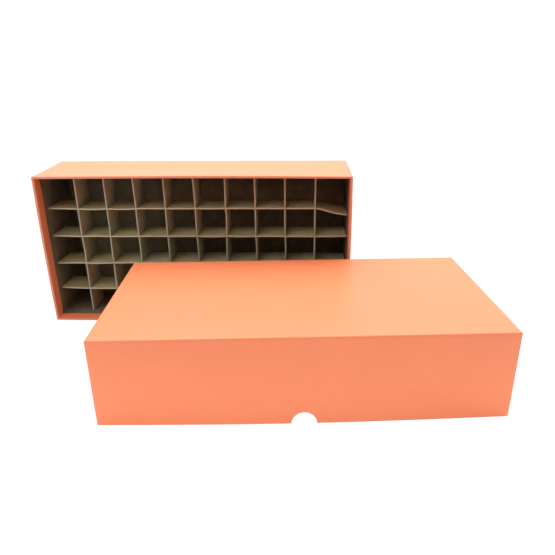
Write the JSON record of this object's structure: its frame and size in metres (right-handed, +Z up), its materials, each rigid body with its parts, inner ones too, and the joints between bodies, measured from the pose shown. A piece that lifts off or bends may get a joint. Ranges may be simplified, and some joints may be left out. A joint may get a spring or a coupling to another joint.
{
  "type": "cryogenic storage box",
  "caption": "Paper-covered rigid board storage box for cryogenic tubes, open base standing on its side with a slotted-strip divider, telescoping lid lying in front.",
  "frame": {"origin": "centre of the long outer side that the base rests on, on the bench", "axes": "+Z up, out of the lid's flat top; +Y from the base's open mouth towards its closed bottom; +X along the base's length, to the right as one looks into the open base"},
  "size_m": [0.2587, 0.1609, 0.0945],
  "materials": {
    "cover_paper": "coated paper, salmon orange, satin",
    "board": "grey-brown chipboard, matt, fibrous cut edges",
    "divider_board": "grey-brown chipboard strip, matt, paler cut edges",
    "stay_paper": "kraft paper tape, matt"
  },
  "bodies": {
    "base": {"base_board": "board", "base_wrap": "cover_paper", "base_corner_stay_1": "stay_paper", "base_corner_stay_2": "stay_paper", "base_corner_stay_3": "stay_paper", "base_corner_stay_4": "stay_paper"},
    "divider_rows": {"row_strip_1": "divider_board", "row_strip_2": "divider_board", "row_strip_3": "divider_board", "row_strip_4": "divider_board"},
    "divider_columns": {"column_strip_1": "divider_board", "column_strip_2": "divider_board", "column_strip_3": "divider_board", "column_strip_4": "divider_board", "column_strip_5": "divider_board", "column_strip_6": "divider_board", "column_strip_7": "divider_board", "column_strip_8": "divider_board", "column_strip_9": "divider_board"},
    "lid": {"lid_board": "board", "lid_wrap": "cover_paper", "lid_corner_stay_1": "stay_paper", "lid_corner_stay_2": "stay_paper", "lid_corner_stay_3": "stay_paper", "lid_corner_stay_4": "stay_paper"}
  },
  "joints": [
    {"name": "divider_draw_out", "type": "slide", "parent": "base", "child": "divider_rows", "axis": [0, -1, 0], "range_m": [0, 0.045]},
    {"name": "columns_lift_off", "type": "slide", "parent": "divider_rows", "child": "divider_columns", "axis": [0, 1, 0], "range_m": [-0.03, 0]},
    {"name": "lid_lift", "type": "slide", "parent": "divider_columns", "child": "lid", "axis": [0, 0, 1], "range_m": [0, 0.12]}
  ]
}
